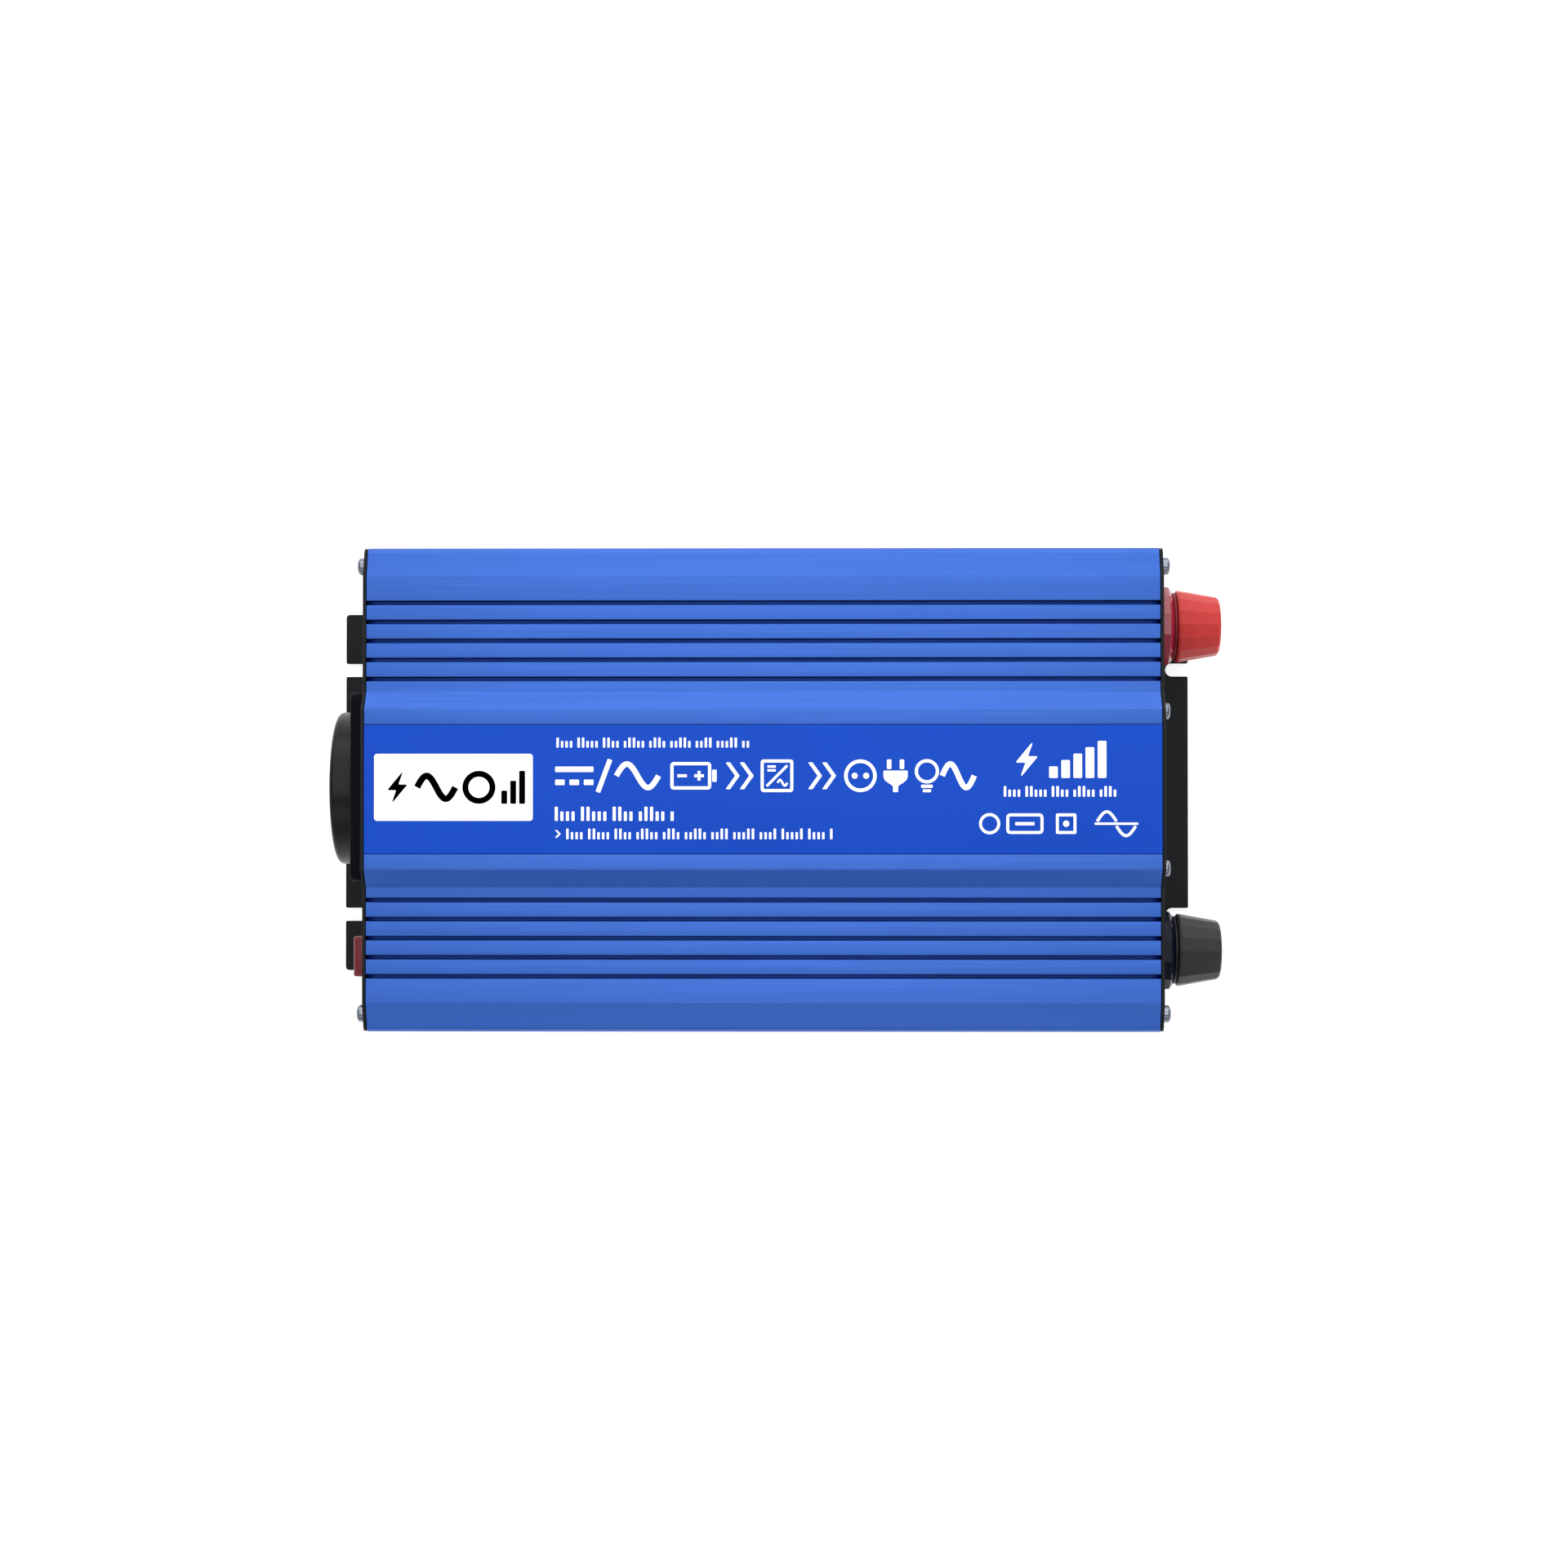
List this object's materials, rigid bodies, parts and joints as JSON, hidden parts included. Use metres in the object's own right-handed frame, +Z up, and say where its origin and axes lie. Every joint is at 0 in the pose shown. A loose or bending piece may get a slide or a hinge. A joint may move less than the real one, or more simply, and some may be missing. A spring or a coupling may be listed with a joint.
{
  "type": "power inverter",
  "caption": "Ribbed blue extruded inverter case on a slotted base plate, with a mains socket and switch at one end, and a fan and screw terminals at the other.",
  "frame": {"origin": "centre of the extruded case on its underside", "axes": "+X along the case towards the battery terminals, +Y across it towards the red terminal, +Z up"},
  "size_m": [0.2903, 0.153, 0.075],
  "materials": {
    "anodised_blue": "satin anodised, fine extrusion grain",
    "label_print": "printed foil, satin",
    "black_paint": "black powder coat",
    "bright_steel": "bright zinc or nickel plate",
    "brass": "turned brass",
    "socket_plastic": "glossy black thermoset",
    "black_plastic": "fine matt texture",
    "clear_red": "tinted translucent",
    "white_plastic": "moulded",
    "lamp_green": "clear tinted lens",
    "lamp_red": "clear tinted lens",
    "terminal_red": "moulded, faintly translucent",
    "terminal_black": "moulded",
    "board_green": "solder resist",
    "ferrite": "pressed ferrite",
    "winding_tape": "polyester tape",
    "copper_wire": "enamelled copper",
    "capacitor_sleeve": "shrink sleeve",
    "plain_aluminium": "mill finish",
    "lead_red": "flexible insulation",
    "lead_black": "flexible insulation"
  },
  "bodies": {
    "case": {"housing": "anodised_blue", "label_foil": "label_print", "base_plate": "black_paint", "ac_end_plate": "black_paint", "dc_end_plate": "black_paint", "socket_body": "socket_plastic", "socket_earth_clip": "bright_steel", "socket_contact_line": "brass", "socket_contact_neutral": "brass", "switch_body": "black_plastic", "usb_port_can": "bright_steel", "usb_port_tongue": "white_plastic", "power_lamp": "lamp_green", "fault_lamp": "lamp_red", "fan_frame": "black_plastic", "main_board": "board_green", "output_choke": "copper_wire", "bus_capacitor": "capacitor_sleeve", "heat_bar_input": "plain_aluminium", "heat_bar_output": "plain_aluminium", "battery_lead_red": "lead_red", "battery_lead_black": "lead_black", "socket_lead_line": "lead_red", "socket_lead_neutral": "lead_black", "ac_plate_screw_1": "bright_steel", "ac_plate_screw_2": "bright_steel", "ac_plate_screw_3": "bright_steel", "ac_plate_screw_4": "bright_steel", "dc_plate_screw_1": "bright_steel", "dc_plate_screw_2": "bright_steel", "dc_plate_screw_3": "bright_steel", "dc_plate_screw_4": "bright_steel", "fan_screw_1": "bright_steel", "transistor_1": "black_plastic", "fan_screw_2": "bright_steel", "transistor_2": "black_plastic", "fan_screw_3": "bright_steel", "transistor_3": "black_plastic", "fan_screw_4": "bright_steel", "transistor_4": "black_plastic", "transformer_core_1": "ferrite", "transformer_winding_1": "winding_tape", "input_capacitor_1": "capacitor_sleeve", "transformer_core_2": "ferrite", "transformer_winding_2": "winding_tape", "input_capacitor_2": "capacitor_sleeve", "terminal_collar_red": "terminal_red", "terminal_stud_red": "brass", "terminal_nut_red": "bright_steel", "terminal_collar_black": "terminal_black", "terminal_stud_black": "brass", "terminal_nut_black": "bright_steel"},
    "rocker": {"switch_rocker": "clear_red"},
    "rotor": {"fan_rotor": "black_plastic"},
    "red_washer": {"terminal_washer_red": "terminal_red"},
    "red_cap": {"terminal_cap_red": "terminal_red"},
    "black_washer": {"terminal_washer_black": "terminal_black"},
    "black_cap": {"terminal_cap_black": "terminal_black"}
  },
  "joints": [
    {"name": "rocker_tilt", "type": "hinge", "parent": "case", "child": "rocker", "pos_m": [-0.1246, -0.0536, 0.037], "axis": [0, 1, 0], "range_deg": [0, 20]},
    {"name": "red_cap_travel", "type": "slide", "parent": "case", "child": "red_washer", "axis": [1, 0, 0], "range_m": [0, 0.008]},
    {"name": "red_cap_turn", "type": "hinge", "parent": "red_washer", "child": "red_cap", "pos_m": [0.14, 0.0536, 0.035], "axis": [1, 0, 0], "range_deg": [0, 2880]},
    {"name": "black_cap_travel", "type": "slide", "parent": "case", "child": "black_washer", "axis": [1, 0, 0], "range_m": [0, 0.008]},
    {"name": "black_cap_turn", "type": "hinge", "parent": "black_washer", "child": "black_cap", "pos_m": [0.14, -0.0518, 0.035], "axis": [1, 0, 0], "range_deg": [0, 2880]},
    {"name": "fan_spin", "type": "hinge", "parent": "case", "child": "rotor", "pos_m": [0.115, 0, 0.036], "axis": [1, 0, 0], "continuous": true}
  ],
  "couplings": [
    {"joint": "red_cap_travel", "follows": "red_cap_turn", "m_per_rad": 0.00015915},
    {"joint": "black_cap_travel", "follows": "black_cap_turn", "m_per_rad": 0.00015915}
  ]
}
